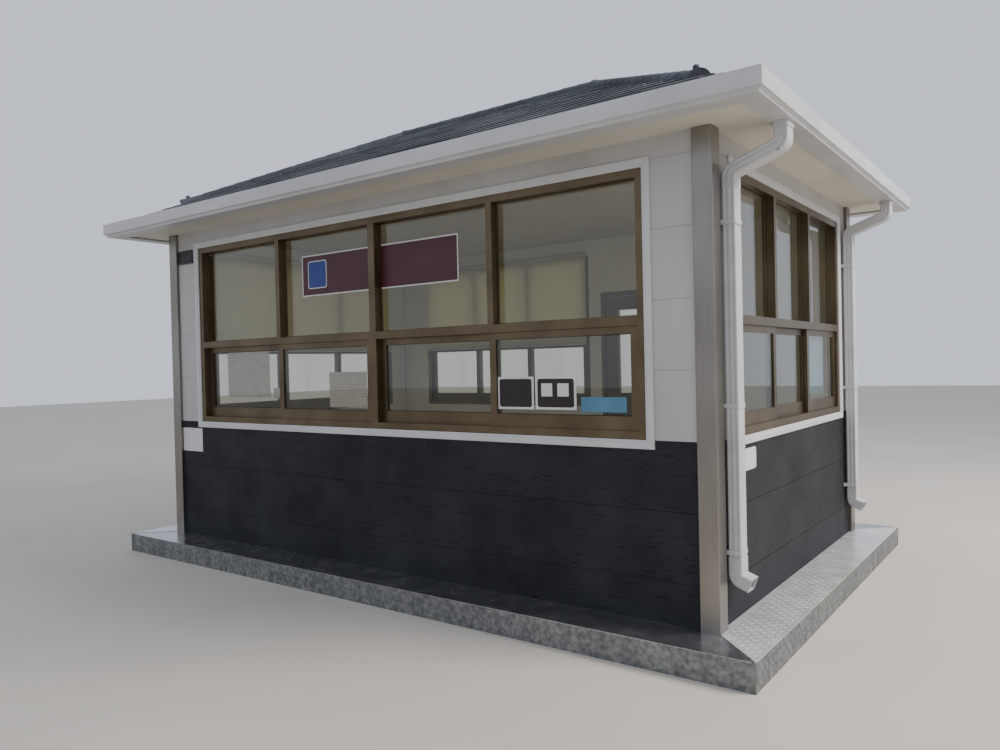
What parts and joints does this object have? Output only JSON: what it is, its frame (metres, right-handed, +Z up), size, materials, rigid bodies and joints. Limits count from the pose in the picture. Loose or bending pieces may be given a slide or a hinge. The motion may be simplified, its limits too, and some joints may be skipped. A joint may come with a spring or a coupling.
{
  "type": "container house",
  "caption": "Small prefabricated cabin with insulated metal walls, ribbon windows, a tiled hip roof, an eaves gutter and downpipes on a steel base.",
  "frame": {"origin": "on the ground under the middle of the base", "axes": "+X along the front wall towards its right end, +Y from the front wall to the back wall, +Z up"},
  "size_m": [5.77, 3.77, 3.7588],
  "materials": {
    "galvanised_sheet": "spangled galvanised sheet, matt grey",
    "painted_steel": "dark primer on welded tube",
    "checker_plate": "raised checker pattern, weathered",
    "floor_board": "board with a plain covering",
    "stainless_steel": "brushed along its length",
    "dark_panel": "charcoal, embossed slate texture",
    "white_panel": "white, fine level embossed lines",
    "bronze_aluminium": "bronze anodised",
    "window_glass": "clear, slightly grey",
    "white_trim": "white, satin",
    "white_soffit": "off-white, matt",
    "roof_tile": "dark blue-grey mineral granules",
    "white_gutter": "white rigid plastic, satin",
    "blind_cloth": "cream roller cloth, translucent",
    "dark_vent": "dark grey louvre"
  },
  "bodies": {
    "root": {"base_fascia": "galvanised_sheet", "base_rails": "painted_steel", "base_joists": "painted_steel", "deck_plate": "checker_plate", "floor": "floor_board", "corner_posts": "stainless_steel", "front_wall_lower": "dark_panel", "front_wall_upper": "white_panel", "front_window_frame": "bronze_aluminium", "front_window_sashes": "bronze_aluminium", "front_window_glass": "window_glass", "right_wall_lower": "dark_panel", "right_wall_upper": "white_panel", "right_window_frame": "bronze_aluminium", "right_window_sashes": "bronze_aluminium", "right_window_glass": "window_glass", "back_wall_lower": "dark_panel", "back_wall_upper": "white_panel", "back_window_frame": "bronze_aluminium", "back_window_sashes": "bronze_aluminium", "back_window_glass": "window_glass", "left_wall_lower": "dark_panel", "left_wall_upper": "white_panel", "left_window_frame": "bronze_aluminium", "left_window_sashes": "bronze_aluminium", "left_window_glass": "window_glass", "window_trims": "white_trim", "door_frame": "bronze_aluminium", "door_leaf": "bronze_aluminium", "door_glass": "window_glass", "door_hinges": "stainless_steel", "door_handle": "stainless_steel", "ceiling_tray": "white_soffit", "front_roof_slope": "roof_tile", "right_roof_slope": "roof_tile", "back_roof_slope": "roof_tile", "left_roof_slope": "roof_tile", "ridge_cap": "roof_tile", "hip_caps": "roof_tile", "front_gutter": "white_gutter", "right_gutter": "white_gutter", "back_gutter": "white_gutter", "left_gutter": "white_gutter", "front_downpipe": "white_gutter", "rear_downpipe": "white_gutter", "pipe_clips": "stainless_steel", "back_blind": "blind_cloth", "left_blind": "blind_cloth", "vent_grille": "dark_vent"}
  },
  "joints": []
}
